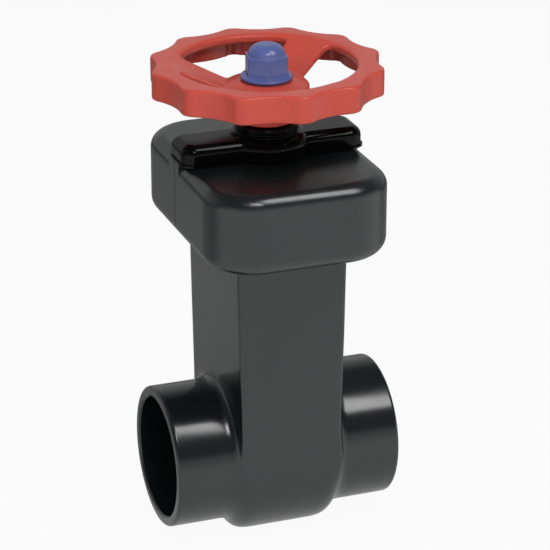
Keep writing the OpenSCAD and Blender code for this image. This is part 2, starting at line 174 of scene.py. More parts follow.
# --- finishes -----------------------------------------------------------------
class ShaderBench:
    """A node material under construction, with short ways to add to it."""

    def __init__(self, name: str) -> None:
        """Start a material that has its coordinates, shader and output.

        Args:
            name: Name of the material.
        """
        self.material = bpy.data.materials.new(name)
        self.material.use_nodes = True
        self.tree = self.material.node_tree
        self.tree.nodes.clear()
        self.shader = self.add("ShaderNodeBsdfPrincipled")
        self.output = self.add("ShaderNodeOutputMaterial")
        self.link(self.shader.outputs["BSDF"], self.output.inputs["Surface"])
        self.coords = self.add("ShaderNodeTexCoord").outputs["Object"]

    def add(self, kind: str) -> bpy.types.Node:
        """Add a node of one kind."""
        return self.tree.nodes.new(kind)

    def link(self, source: Socket, target: Socket) -> None:
        """Join two sockets."""
        self.tree.links.new(source, target)

    def feed(self, label: str, source: Socket) -> None:
        """Join a socket to an input of the shader."""
        self.link(source, self.shader.inputs[label])

    def fix(self, label: str, value: float) -> None:
        """Set an input of the shader."""
        self.shader.inputs[label].default_value = value

    def number(self, socket: Socket) -> Number:
        """Take a socket of this material as a number field."""
        return Number(self.tree, socket)

    def stretched(self, scale: Point) -> Socket:
        """Scale the object coordinates, for grain that runs one way.

        Args:
            scale: Factor on each axis.

        Returns:
            The scaled coordinates.
        """
        mapping = self.add("ShaderNodeMapping")
        mapping.inputs["Scale"].default_value = scale
        self.link(self.coords, mapping.inputs["Vector"])
        return mapping.outputs["Vector"]

    def noise(self, scale: float, detail: float = 2.0, vector: Socket | None = None) -> Socket:
        """Add a noise pattern.

        Args:
            scale: Number of waves in a metre.
            detail: Number of finer layers.
            vector: Coordinates to read, or the object's own.

        Returns:
            The socket that gives values around one half.
        """
        node = self.add("ShaderNodeTexNoise")
        node.inputs["Scale"].default_value = scale
        node.inputs["Detail"].default_value = detail
        self.link(vector or self.coords, node.inputs["Vector"])
        return node.outputs["Fac"]

    def spread(self, source: Socket, low: float, high: float, sharp: float = 0.25) -> Socket:
        """Map a noise pattern onto a range.

        Args:
            source: The noise, around one half.
            low: Result at the low end.
            high: Result at the high end.
            sharp: Half of the noise band that is used.

        Returns:
            The mapped value.
        """
        node = self.add("ShaderNodeMapRange")
        node.inputs["From Min"].default_value = 0.5 - sharp
        node.inputs["From Max"].default_value = 0.5 + sharp
        node.inputs["To Min"].default_value = low
        node.inputs["To Max"].default_value = high
        self.link(source, node.inputs["Value"])
        return node.outputs["Result"]

    def mixed(self, share: Socket, first: Colour, second: Colour) -> Socket:
        """Mix two colours by a share.

        Args:
            share: From 0 for the first colour to 1 for the second.
            first: Colour at 0.
            second: Colour at 1.

        Returns:
            The mixed colour.
        """
        node = self.add("ShaderNodeMix")
        node.data_type = "RGBA"
        colour_in = [s for s in node.inputs if s.type == "RGBA"]
        colour_in[0].default_value = (*first, 1.0)
        colour_in[1].default_value = (*second, 1.0)
        self.link(share, node.inputs["Factor"])
        return next(s for s in node.outputs if s.type == "RGBA")

    def bump(
        self, height: Socket, strength: float, depth: float, under: Socket | None = None
    ) -> Socket:
        """Add a bump layer.

        Args:
            height: The relief, from 0 to 1.
            strength: Strength of the layer.
            depth: Depth of the relief in metres.
            under: Normal from a coarser layer below it.

        Returns:
            The bumped normal.
        """
        node = self.add("ShaderNodeBump")
        node.inputs["Strength"].default_value = strength
        node.inputs["Distance"].default_value = depth
        self.link(height, node.inputs["Height"])
        if under is not None:
            self.link(under, node.inputs["Normal"])
        return node.outputs["Normal"]


class Finish:
    """A surface finish, which makes its material once and shares it.

    Its noise scales are waves in a metre, and its depths are metres.
    """

    name: str

    def material(self) -> bpy.types.Material:
        """Make the material, or return it if it is already there.

        Returns:
            The procedural material.
        """
        ready = bpy.data.materials.get(self.name)
        if ready is None:
            bench = ShaderBench(self.name)
            self.wire(bench)
            ready = bench.material
        return ready

    def wire(self, bench: ShaderBench) -> None:
        """Add the nodes of colour, gloss and relief."""
        raise NotImplementedError

    def put_on(self, mesh: bpy.types.Mesh) -> None:
        """Make this the only material of a mesh."""
        mesh.materials.clear()
        mesh.materials.append(self.material())


@dataclass(frozen=True)
class MouldedPlastic(Finish):
    """Injection-moulded plastic: faint flow marks, fine skin and orange peel."""

    name: str
    tone: Colour
    drift: Colour
    roughness: float
    unevenness: float = 0.05
    specular: float = 0.5
    flow_scale: float = 22.0
    flow_grain: Point = (1.0, 1.0, 0.45)
    flow_share: Span = (-0.1, 0.85)
    speck_share: float = 0.25
    # Scales of the specks and of the wear, as parts of the skin's and the peel's.
    speck_ratio: float = 0.4
    wear_ratio: float = 0.35
    peel_scale: float = 150.0
    peel_depth: float = 0.00012
    skin_scale: float = 1500.0
    skin_depth: float = 0.00002
    relief: float = 0.5

    def wire(self, bench: ShaderBench) -> None:
        """Add the flow marks, the uneven gloss and the two layers of relief.

        Args:
            bench: The material under construction.
        """
        grain = bench.stretched(self.flow_grain)
        flow = bench.noise(self.flow_scale, detail=3.0, vector=grain)
        marks = bench.number(bench.spread(flow, *self.flow_share))
        speck = bench.number(bench.noise(self.skin_scale * self.speck_ratio, detail=1.0))
        share = speck.math("MULTIPLY_ADD", self.speck_share, marks)
        bench.feed("Base Color", bench.mixed(share.socket, self.tone, self.drift))
        wear = bench.noise(self.peel_scale * self.wear_ratio, detail=4.0)
        smooth, rough = self.roughness - self.unevenness, self.roughness + self.unevenness
        bench.feed("Roughness", bench.spread(wear, smooth, rough))
        peel = bench.bump(bench.noise(self.peel_scale), self.relief, self.peel_depth)
        skin = bench.bump(bench.noise(self.skin_scale), self.relief, self.skin_depth, peel)
        bench.feed("Normal", skin)
        bench.fix("Specular IOR Level", self.specular)


@dataclass(frozen=True)
class TurnedMetal(Finish):
    """Turned or machined metal with fine rings across the stem axis."""

    name: str
    tone: Colour
    drift: Colour
    roughness: float = 0.28
    polish: float = 0.08
    dulling: float = 0.12
    ring_scale: float = 60.0
    ring_grain: Point = (0.6, 0.6, 60.0)
    ring_relief: float = 0.4
    ring_depth: float = 0.00004
    stain_scale: float = 90.0

    def wire(self, bench: ShaderBench) -> None:
        """Add the stains, and the rings in gloss and relief.

        Args:
            bench: The material under construction.
        """
        grain = bench.stretched(self.ring_grain)
        rings = bench.noise(self.ring_scale, detail=3.0, vector=grain)
        stain = bench.spread(bench.noise(self.stain_scale, detail=4.0), 0.0, 1.0)
        bench.feed("Base Color", bench.mixed(stain, self.tone, self.drift))
        smooth, rough = self.roughness - self.polish, self.roughness + self.dulling
        bench.feed("Roughness", bench.spread(rings, smooth, rough))
        bench.feed("Normal", bench.bump(rings, self.ring_relief, self.ring_depth))
        bench.fix("Metallic", 1.0)


@dataclass(frozen=True)
class SealRubber(Finish):
    """Matt black rubber of the seats and packing."""

    name: str = "black_seal_rubber"
    tone: Colour = (0.012, 0.012, 0.012)
    drift: Colour = (0.022, 0.021, 0.020)
    roughness: Span = (0.62, 0.8)
    bloom_scale: float = 70.0
    grain_scale: float = 1400.0
    grain_relief: float = 0.5
    grain_depth: float = 0.00004

    def wire(self, bench: ShaderBench) -> None:
        """Add the bloom in colour and gloss, and the fine grain.

        Args:
            bench: The material under construction.
        """
        bloom = bench.noise(self.bloom_scale, detail=4.0)
        share = bench.spread(bloom, 0.0, 1.0)
        bench.feed("Base Color", bench.mixed(share, self.tone, self.drift))
        bench.feed("Roughness", bench.spread(bloom, *self.roughness))
        grain = bench.noise(self.grain_scale, detail=3.0)
        bench.feed("Normal", bench.bump(grain, self.grain_relief, self.grain_depth))


@dataclass(frozen=True)
class FloorPaper(Finish):
    """White paper under the valve, which looks white from the camera.

    Glossy surfaces see it white as well, in front of the valve. What falls on
    the valve from it is only the light that the paper throws back.
    """

    name: str = "white_paper"
    tone: Colour = (0.52, 0.52, 0.52)
    drift: Colour = (0.56, 0.56, 0.56)
    roughness: float = 0.9
    specular: float = 0.2
    fibre_scale: float = 300.0
    fibre_relief: float = 0.1
    fibre_depth: float = 0.0001
    white_share: float = 0.94
    # Places along Y, in metres, between which the mirrored white comes in.
    white_front: Span = (0.12, -0.14)

    def wire(self, bench: ShaderBench) -> None:
        """Add the fibres, and mix in the white by the kind of ray.

        Args:
            bench: The material under construction.
        """
        fibre = bench.noise(self.fibre_scale, detail=3.0)
        bench.feed("Base Color", bench.mixed(fibre, self.tone, self.drift))
        bench.feed("Normal", bench.bump(fibre, self.fibre_relief, self.fibre_depth))
        bench.fix("Roughness", self.roughness)
        bench.fix("Specular IOR Level", self.specular)
        split = bench.add("ShaderNodeSeparateXYZ")
        bench.link(bench.coords, split.inputs[0])
        rays = bench.add("ShaderNodeLightPath").outputs
        front = bench.number(split.outputs["Y"]).step(*self.white_front)
        mirrored = bench.number(rays["Is Glossy Ray"]) * front
        seen = bench.number(rays["Is Camera Ray"])
        share = seen.math("MULTIPLY_ADD", self.white_share, mirrored).below(1.0)
        white = bench.add("ShaderNodeEmission")
        white.inputs["Color"].default_value = (1.0, 1.0, 1.0, 1.0)
        mix = bench.add("ShaderNodeMixShader")
        bench.link(share.socket, mix.inputs[0])
        bench.link(bench.shader.outputs["BSDF"], mix.inputs[1])
        bench.link(white.outputs["Emission"], mix.inputs[2])
        bench.link(mix.outputs["Shader"], bench.output.inputs["Surface"])


GREY_BODY = MouldedPlastic(
    name="dark_grey_moulding",
    tone=(0.0052, 0.0074, 0.0080),
    drift=(0.0078, 0.0108, 0.0114),
    roughness=0.18,
    unevenness=0.03,
    peel_depth=0.00005,
    specular=0.7,
)
GREY_SHELL = MouldedPlastic(
    name="dark_grey_shell",
    tone=GREY_BODY.tone,
    drift=GREY_BODY.drift,
    roughness=0.26,
    unevenness=0.03,
    peel_depth=0.00006,
    specular=0.7,
)
BLACK_GLOSS = MouldedPlastic(
    name="black_gloss_moulding",
    tone=(0.0009, 0.0008, 0.0010),
    drift=(0.0018, 0.0016, 0.0020),
    roughness=0.12,
    unevenness=0.03,
    peel_depth=0.00004,
    specular=0.15,
)
RED_WHEEL = MouldedPlastic(
    name="red_satin_moulding",
    tone=(0.540, 0.066, 0.042),
    drift=(0.575, 0.074, 0.052),
    roughness=0.30,
    flow_scale=16.0,
    peel_depth=0.00006,
    specular=0.4,
)
BLUE_CAP = MouldedPlastic(
    name="blue_satin_moulding",
    tone=(0.080, 0.108, 0.300),
    drift=(0.102, 0.132, 0.345),
    roughness=0.22,
    unevenness=0.04,
    flow_scale=60.0,
    peel_scale=320.0,
    peel_depth=0.00004,
)
GATE_GREY = MouldedPlastic(
    name="gate_grey_moulding",
    tone=(0.014, 0.014, 0.015),
    drift=(0.020, 0.020, 0.021),
    roughness=0.42,
)
STEEL = TurnedMetal("turned_steel", (0.56, 0.56, 0.57), (0.46, 0.46, 0.47))
BRASS = TurnedMetal("machined_brass", (0.60, 0.42, 0.16), (0.50, 0.34, 0.12), 0.34)
RUBBER = SealRubber()
PAPER = FloorPaper()


# --- geometry trees -----------------------------------------------------------
class NodeBuild:
    """A geometry tree with named sizes, which makes one plain mesh."""

    def __init__(self, name: str) -> None:
        """Start a tree that has a geometry input and output.

        Args:
            name: Name of the piece.
        """
        self.name = name
        self.tree = bpy.data.node_groups.new(name + "_rule", "GeometryNodeTree")
        face = self.tree.interface
        face.new_socket("Geometry", in_out="INPUT", socket_type="NodeSocketGeometry")
        face.new_socket("Geometry", in_out="OUTPUT", socket_type="NodeSocketGeometry")
        self.group_in = self.add("NodeGroupInput")
        self.group_out = self.add("NodeGroupOutput")
        self.values: dict[str, float] = {}

    def add(self, kind: str) -> bpy.types.Node:
        """Add a node of one kind."""
        return self.tree.nodes.new(kind)

    def link(self, source: Socket, target: Socket) -> None:
        """Join two sockets."""
        self.tree.links.new(source, target)

    def size(self, label: str, value: float) -> Number:
        """Add a named size.

        Args:
            label: Name of the input.
            value: Its value.

        Returns:
            The size as a field.
        """
        face = self.tree.interface
        item = face.new_socket(label, in_out="INPUT", socket_type="NodeSocketFloat")
        self.values[item.identifier] = value
        return Number(self.tree, self.group_in.outputs[label])

    def place(self) -> tuple[Number, Number, Number]:
        """Add the position in millimetres.

        Returns:
            Its three parts.
        """
        where = self.add("GeometryNodeInputPosition")
        split = self.add("ShaderNodeSeparateXYZ")
        self.link(where.outputs[0], split.inputs[0])
        x, y, z = (Number(self.tree, out) / MM for out in split.outputs)
        return x, y, z

    def finish(self, shape: Socket, material: bpy.types.Material) -> bpy.types.Object:
        """Close the tree, run it and keep its mesh.

        Args:
            shape: The geometry to keep.
            material: What it is made of.

        Returns:
            A plain mesh object at the origin.
        """
        smooth = self.add("GeometryNodeSetShadeSmooth")
        real = self.add("GeometryNodeRealizeInstances")
        dress = self.add("GeometryNodeSetMaterial")
        dress.inputs["Material"].default_value = material
        self.link(shape, smooth.inputs["Geometry"])
        self.link(smooth.outputs["Geometry"], real.inputs["Geometry"])
        self.link(real.outputs["Geometry"], dress.inputs["Geometry"])
        self.link(dress.outputs["Geometry"], self.group_out.inputs["Geometry"])
        seed = bpy.data.objects.new(self.name, bpy.data.meshes.new(self.name))
        bpy.context.scene.collection.objects.link(seed)
        modifier = seed.modifiers.new("rule", "NODES")
        modifier.node_group = self.tree
        for identifier, value in self.values.items():
            modifier[identifier] = value
        seed.update_tag()
        bpy.context.view_layer.update()
        graph = bpy.context.evaluated_depsgraph_get()
        mesh = bpy.data.meshes.new_from_object(seed.evaluated_get(graph))
        seed.modifiers.clear()
        seed.data = mesh
        mesh.name = self.name
        return seed


class FieldSolid(NodeBuild):
    """A moulded solid, given by a distance that is negative inside it."""

    # Cells of the search in which the density falls, and its value at the surface.
    BAND_CELLS = 4.0
    SURFACE = 0.5

    def __init__(self, name: str, low: Point, high: Point, grid: float) -> None:
        """Start a solid.

        Args:
            name: Name of the piece.
            low: Lowest corner of the room that is searched.
            high: Highest corner.
            grid: Pitch of the search.
        """
        super().__init__(name)
        self.low = Vector(low)
        self.high = Vector(high)
        self.grid = grid

    def solid(self, distance: Number, material: bpy.types.Material) -> bpy.types.Object:
        """Turn the distance into a closed mesh.

        Args:
            distance: Distance to the surface in millimetres, negative inside.
            material: What it is made of.

        Returns:
            The mesh object.
        """
        band = self.BAND_CELLS * self.grid
        density = (-distance / band + self.SURFACE).above(0.0).below(1.0)
        cube = self.add("GeometryNodeVolumeCube")
        self.link(density.socket, cube.inputs["Density"])
        cube.inputs["Min"].default_value = self.low * MM
        cube.inputs["Max"].default_value = self.high * MM
        for axis, label in enumerate("XYZ"):
            count = math.ceil((self.high[axis] - self.low[axis]) / self.grid) + 1
            cube.inputs["Resolution " + label].default_value = count
        skin = self.add("GeometryNodeVolumeToMesh")
        skin.inputs["Threshold"].default_value = self.SURFACE
        skin.inputs["Adaptivity"].default_value = 0.0
        self.link(cube.outputs["Volume"], skin.inputs["Volume"])
        return self.finish(skin.outputs["Mesh"], material)


# --- sub-assemblies -----------------------------------------------------------
class SubAssembly:
    """A group of pieces that is built together and hung on its bodies."""

    # Points that lie closer than this many metres become one.
    MERGE = 1e-6
    NORMAL_WEIGHT = 90

    def copied(self, node: str, name: str, finish: Finish, angle: float) -> bpy.types.Object:
        """Copy a construction node, merge it and smooth it up to an angle.

        Args:
            node: Name of the construction node.
            name: Name of the new piece.
            finish: What it is made of.
            angle: Edges sharper than this many degrees stay sharp.

        Returns:
            The new object.
        """
        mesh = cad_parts[node].data.copy()
        mesh.name = name
        work = bmesh.new()
        work.from_mesh(mesh)
        bmesh.ops.remove_doubles(work, verts=work.verts, dist=self.MERGE)
        for face in work.faces:
            face.smooth = True
        limit = math.radians(angle)
        for edge in work.edges:
            edge.smooth = edge.calc_face_angle(0.0) < limit
        work.to_mesh(mesh)
        work.free()
        if "custom_normal" in mesh.attributes:
            mesh.attributes.remove(mesh.attributes["custom_normal"])
        finish.put_on(mesh)
        piece = bpy.data.objects.new(name, mesh)
        bpy.context.scene.collection.objects.link(piece)
        even = piece.modifiers.new("even_normals", "WEIGHTED_NORMAL")
        even.keep_sharp = True
        even.weight = self.NORMAL_WEIGHT
        return piece

    def keep(self, piece: bpy.types.Object, body: Body, slot: Slot, *nodes: str) -> None:
        """Hang a finished piece on its body, hide the nodes it stands for and report it.

        Args:
            piece: The finished mesh object.
            body: The rigid body that carries it.
            slot: Not used.
            nodes: Construction nodes that it stands for.
        """
        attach(piece, body.value)
        if nodes:
            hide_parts(*nodes)
        log.info("%s: %d faces, on %s", piece.name, len(piece.data.polygons), body.value)

    def dress(self, finish: Finish, *nodes: str) -> None:
        """Give construction nodes that stay as they are their finish.

        Args:
            finish: What they are made of.
            nodes: Their names.
        """
        for node in nodes:
            finish.put_on(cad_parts[node].data)
            log.info("%s: kept, dressed in %s", node, finish.name)

    def build(self) -> None:
        """Build every piece of the sub-assembly."""
        raise NotImplementedError


@dataclass
class ValveBody(SubAssembly):
    """Moulded body: a drafted upright over a round bowl, flared to the sockets."""

    axis_height: float = 42.0
    top: float = 181.0
    half_width: float = 26.9
    half_spread: float = 2.65
    half_depth: float = 39.4
    bowl_height: float = 36.8
    edge_run: float = 3.6
    bowl_edge_run: float = 12.5
    # Heights over the bowl between which its edges turn into the body's.
    edge_change: Span = (-14.0, 8.0)
    base_run: float = 1.0
    stub_radius: float = 36.96
    stub_wall: float = 1.5
    stub_reach: float = 36.0
    root_run: float = 8.5
    port_radius: float = 26.5
    socket_seat: float = 19.5
    cavity_half: float = 9.0
    cavity_radius: float = 33.5
    seat_radius: float = 31.0
    seat_reach: float = 13.0
    sharp_angle: float = 25.0
    margin: float = 2.0
    grid: float = 1.0

    def waterway(
        self, build: FieldSolid, along: Number, off_axis: Number, broad: Number
    ) -> Number:
        """Distance to all that is hollow in the body.

        Args:
            build: The solid under construction.
            along: Distance from the middle along the pipe.
            off_axis: Distance from the pipe's axis.
            broad: Distance from the stem's plane, or from the bowl's axis under it.

        Returns:
            The distance, negative in the hollow.
        """
        port = build.size("Port Radius", self.port_radius)
        bore = build.size("Socket Bore Radius", self.stub_radius - self.stub_wall)
        stop = build.size("Socket Seat", self.socket_seat)
        seat = build.size("Seat Radius", self.seat_radius)
        seat_end = build.size("Seat Reach", self.seat_reach)
        cavity = build.size("Cavity Radius", self.cavity_radius)
        cavity_half = build.size("Cavity Half Width", self.cavity_half)
        sockets = (off_axis - bore).above(stop - along)
        seats = (off_axis - seat).above(along - seat_end)
        gate_room = (broad - cavity).above(along - cavity_half)
        return (off_axis - port).below(sockets).below(seats).below(gate_room)

    def moulding(self) -> bpy.types.Object:
        """Make the body as one soft-edged moulding.

        Returns:
            The mesh object.
        """
        reach = self.stub_reach + self.margin
        deep = self.half_depth + self.margin
        low = (-reach, -deep, -self.margin)
        high = (reach, deep, self.top + self.margin)
        build = FieldSolid("moulded_body", low, high, self.grid)
        axis = build.size("Pipe Axis Height", self.axis_height)
        top = build.size("Top", self.top)
        half_x = build.size("Half Width", self.half_width)
        half_y = build.size("Half Depth", self.half_depth)
        lean = build.size("Lean", self.half_spread / (self.top - self.axis_height))
        bowl = build.size("Bowl Height", self.bowl_height)
        stub = build.size("Socket Stub Radius", self.stub_radius)
        stub_end = build.size("Socket Stub Reach", self.stub_reach)
        root = build.size("Root Run", self.root_run)
        foot = build.size("Base Run", self.base_run)
        x, y, z = build.place()
        along = abs(x)
        under = (z - bowl).below(0.0)
        broad = y.hypot(under)
        wide = along - (half_x + (z - axis) * lean)
        upper = (z - bowl).step(*self.edge_change)
        edge = upper * (self.edge_run - self.bowl_edge_run) + self.bowl_edge_run
        column = wide.soft_above(broad - half_y, edge).above(z - top)
        off_axis = y.hypot(z - axis)
        stubs = (off_axis - stub).above(along - stub_end)
        skin = column.soft_below(stubs, root).soft_above(-z, foot)
        hollow = self.waterway(build, along, off_axis, broad)
        return build.solid(skin.above(-hollow), GREY_BODY.material())

    def build(self) -> None:
        """Build the body, its sockets and what stands in the waterway."""
        self.keep(self.moulding(), Body.HOUSING, Slot.BODY, "valve_body")
        for side in ("left", "right"):
            node = "socket_" + side
            piece = self.copied(node, "pipe_" + node, GREY_BODY, self.sharp_angle)
            self.keep(piece, Body.HOUSING, Slot.BODY, node)
        self.dress(GREY_BODY, "body_flange")
        self.dress(GATE_GREY, "gate")
        self.dress(RUBBER, "seat_left", "seat_right", "bonnet_seal", "stem_seal")
        self.dress(BRASS, "gate_nut", "thrust_ring")


@dataclass
class ClampCover(SubAssembly):
    """Two shells that close round the top of the body."""

    sharp_angle: float = 28.0

    def build(self) -> None:
        """Build the front and the back shell."""
        for side in ("front", "back"):
            node = "clamp_" + side
            piece = self.copied(node, side + "_shell", GREY_SHELL, self.sharp_angle)
            self.keep(piece, Body.HOUSING, Slot.BODY, node)


@dataclass
class Bonnet(SubAssembly):
    """Black bonnet bar with its boss, and the gland nut with its rings."""

    ring_radius: float = 15.9
    ring_thick: float = 0.55
    ring_base: float = 215.0
    ring_pitch: float = 1.57
    ring_count: int = 3
    ring_sides: int = 96
    section_sides: int = 12
    sharp_angle: float = 28.0

    def rings(self) -> bpy.types.Object:
        """Make the fine rings round the gland nut.

        Returns:
            The mesh object.
        """
        build = NodeBuild("gland_rings")
        radius = build.size("Ring Radius", self.ring_radius * MM)
        thick = build.size("Ring Thickness", self.ring_thick * MM)
        circle = build.add("GeometryNodeCurvePrimitiveCircle")
        circle.inputs["Resolution"].default_value = self.ring_sides
        build.link(radius.socket, circle.inputs["Radius"])
        section = build.add("GeometryNodeCurvePrimitiveCircle")
        section.inputs["Resolution"].default_value = self.section_sides
        build.link(thick.socket, section.inputs["Radius"])
        sweep = build.add("GeometryNodeCurveToMesh")
        build.link(circle.outputs["Curve"], sweep.inputs["Curve"])
        build.link(section.outputs["Curve"], sweep.inputs["Profile Curve"])
        row = build.add("GeometryNodeMeshLine")
        row.inputs["Count"].default_value = self.ring_count
        row.inputs["Start Location"].default_value = (0.0, 0.0, self.ring_base * MM)
        row.inputs["Offset"].default_value = (0.0, 0.0, self.ring_pitch * MM)
        copies = build.add("GeometryNodeInstanceOnPoints")
        build.link(row.outputs["Mesh"], copies.inputs["Points"])
        build.link(sweep.outputs["Mesh"], copies.inputs["Instance"])
        return build.finish(copies.outputs["Instances"], BLACK_GLOSS.material())

    def build(self) -> None:
        """Build the bonnet, the gland nut and its rings."""
        for node, name in (("bonnet", "bonnet_bar"), ("gland_nut", "gland_head")):
            piece = self.copied(node, name, BLACK_GLOSS, self.sharp_angle)
            self.keep(piece, Body.HOUSING, Slot.BONNET, node)
        self.keep(self.rings(), Body.HOUSING, Slot.BONNET)


@dataclass
class Handwheel(SubAssembly):
    """Lobed wheel with a dished web, three spokes and a hub."""

    radius: float = 59.0
    rim_top: float = 250.6
    rim_height: float = 13.8
    lobes: int = 12
    lobe_radius: float = 8.0
    lobe_tip: float = 0.3
    valley: float = 3.8
    lobe_turn: float = 28.5
    # Share of the angle where lobe and valley touch, over which they mix.
    touch_mix: float = 0.1
    opening_radius: float = 45.4
    face_drop: float = 0.7
    hub_radius: float = 21.5
    hub_top: float = 241.3
    dish_low: float = 239.2
    seat_radius: float = 14.5
    seat_fall: float = 0.35
    hub_foot: float = 220.2
    hub_foot_radius: float = 13.7
    foot_cover: float = 2.0
    web: float = 3.6
    web_drop: float = 1.0
    wall: float = 3.6
    spokes: int = 3
    spoke_half: float = 9.0
    spoke_flare: float = 0.1
    spoke_turn: float = 41.0
    seat_run: float = 1.2
    face_run: float = 1.6
    under_run: float = 0.8
    top_run: float = 2.3
    foot_run: float = 1.2
    opening_run: float = 1.9
    room_run: float = 0.9
    corner_run: float = 7.0
    hub_corner_run: float = 3.6
    hub_foot_run: float = 3.0
    stem_radius: float = 6.3
    stem_stop: float = 6.0
    stud_radius: float = 5.3
    margin: float = 1.5
    grid: float = 0.62

    def lobed_edge(self, r: Number, turn: Number) -> Number:
        """Distance to the lobed outline, of round lobes and hollow valleys.

        Args:
            r: Distance from the axis.
            turn: Angle round the axis in radians.

        Returns:
            The distance, negative inside the outline.
        """
        half_pitch = math.pi / self.lobes
        lobe_at = self.radius - self.lobe_radius + self.lobe_tip
        valley_in = self.radius - self.valley
        run = lobe_at * math.cos(half_pitch)
        valley_radius = (
            valley_in**2 + lobe_at**2 - 2 * run * valley_in - self.lobe_radius**2
        ) / (2 * (self.lobe_radius - valley_in + run))
        valley_at = valley_in + valley_radius
        centre = Vector((lobe_at, 0.0))
        hollow = Vector((math.cos(half_pitch), math.sin(half_pitch))) * valley_at
        touch = centre + (hollow - centre).normalized() * self.lobe_radius
        touch_angle = math.atan2(touch.y, touch.x)
        fold = turn.folded(self.lobe_turn, self.lobes)
        a = r * fold.math("COSINE")
        b = r * fold.math("SINE")
        lobe = (a - centre.x).above(0.0).hypot(b) - self.lobe_radius
        dip = -((a - hollow.x).hypot(b - hollow.y)) + valley_radius
        share = fold.step(touch_angle * (1 - self.touch_mix), touch_angle * (1 + self.touch_mix))
        return lobe + (dip - lobe) * share

    def openings(self, build: FieldSolid, r: Number, turn: Number, hub: Number) -> Number:
        """Distance to the openings between the spokes.

        Args:
            build: The solid under construction.
            r: Distance from the axis.
            turn: Angle round the axis in radians.
            hub: Radius of the hub.

        Returns:
            The distance, negative inside an opening.
        """
        opening = build.size("Opening Radius", self.opening_radius)
        spoke = build.size("Spoke Half Width", self.spoke_half)
        corner = build.size("Corner Run", self.corner_run)
        hub_corner = build.size("Hub Corner Run", self.hub_corner_run)
        fold = turn.folded(self.spoke_turn, self.spokes)
        beside = (r - hub) * self.spoke_flare + spoke - r * fold.math("SINE")
        return (r - opening).soft_above(beside, corner).soft_above(hub - r, hub_corner)

    def dish(self, build: FieldSolid, r: Number, hub: Number, hub_top: Number) -> Number:
        """Height of the dished face, which rises round the cap and to the rim.

        Args:
            build: The solid under construction.
            r: Distance from the axis.
            hub: Radius of the hub.
            hub_top: Height of the seat under the cap.

        Returns:
            The height.
        """
        rise = self.rim_top - self.face_drop - self.dish_low
        slope = build.size("Dish Slope", rise / (self.opening_radius - self.hub_radius))
        low = build.size("Dish Low", self.dish_low)
        seat_radius = build.size("Seat Radius", self.seat_radius)
        fall = build.size("Seat Fall", self.seat_fall)
        cone = (r - hub) * slope + low
        seat = hub_top - (r - seat_radius).above(0.0) * fall
        return cone.soft_above(seat, self.seat_run)

    def bore(self, build: FieldSolid, r: Number, z: Number, hub_top: Number) -> Number:
        """Distance to the hole for the stem and its stud.

        Args:
            build: The solid under construction.
            r: Distance from the axis.
            z: Height.
            hub_top: Height of the seat under the cap.

        Returns:
            The distance, negative in the hole.
        """
        stem_radius = build.size("Stem Radius", self.stem_radius)
        stud_radius = build.size("Stud Radius", self.stud_radius)
        stem = (r - stem_radius).above(z - hub_top + self.stem_stop)
        return stem.below(r - stud_radius)

    def moulding(self) -> bpy.types.Object:
        """Make the wheel as one soft-edged moulding.

        Returns:
            The mesh object.
        """
        reach = self.radius + self.margin
        low = (-reach, -reach, self.hub_foot - self.margin)
        high = (reach, reach, self.rim_top + self.margin)
        build = FieldSolid("lobed_handwheel", low, high, self.grid)
        top = build.size("Rim Top", self.rim_top)
        height = build.size("Rim Height", self.rim_height)
        hub = build.size("Hub Radius", self.hub_radius)
        hub_top = build.size("Hub Top", self.hub_top)
        web = build.size("Web Thickness", self.web)
        wall = build.size("Wall Thickness", self.wall)
        hub_foot = build.size("Hub Foot", self.hub_foot)
        foot_radius = build.size("Hub Foot Radius", self.hub_foot_radius)
        x, y, z = build.place()
        r = x.hypot(y)
        turn = y.math("ARCTAN2", x)
        dish = self.dish(build, r, hub, hub_top)
        face = dish.soft_below(top, self.face_run)
        under = (dish - web).soft_below(top - self.web_drop - web, self.under_run)
        edge = self.lobed_edge(r, turn)
        skirt = (-edge - wall).soft_above(top - height - z, self.room_run)
        shell = (under - z).soft_below(skirt, self.room_run)
        rim = edge.soft_above(z - face, self.top_run).soft_above(shell, self.foot_run)
        rim = rim.soft_above(-self.openings(build, r, turn, hub), self.opening_run)
        foot = (r - foot_radius).above(hub_foot - z).above(z - hub_top + self.foot_cover)
        wheel = rim.soft_below(foot, self.hub_foot_run)
        bore = self.bore(build, r, z, hub_top)
        return build.solid(wheel.above(-bore), RED_WHEEL.material())

    def build(self) -> None:
        """Build the wheel and dress what turns with it."""
        self.keep(self.moulding(), Body.WHEEL, Slot.WHEEL, "handwheel")
        self.dress(STEEL, "stem", "wheel_washer", "wheel_nut")


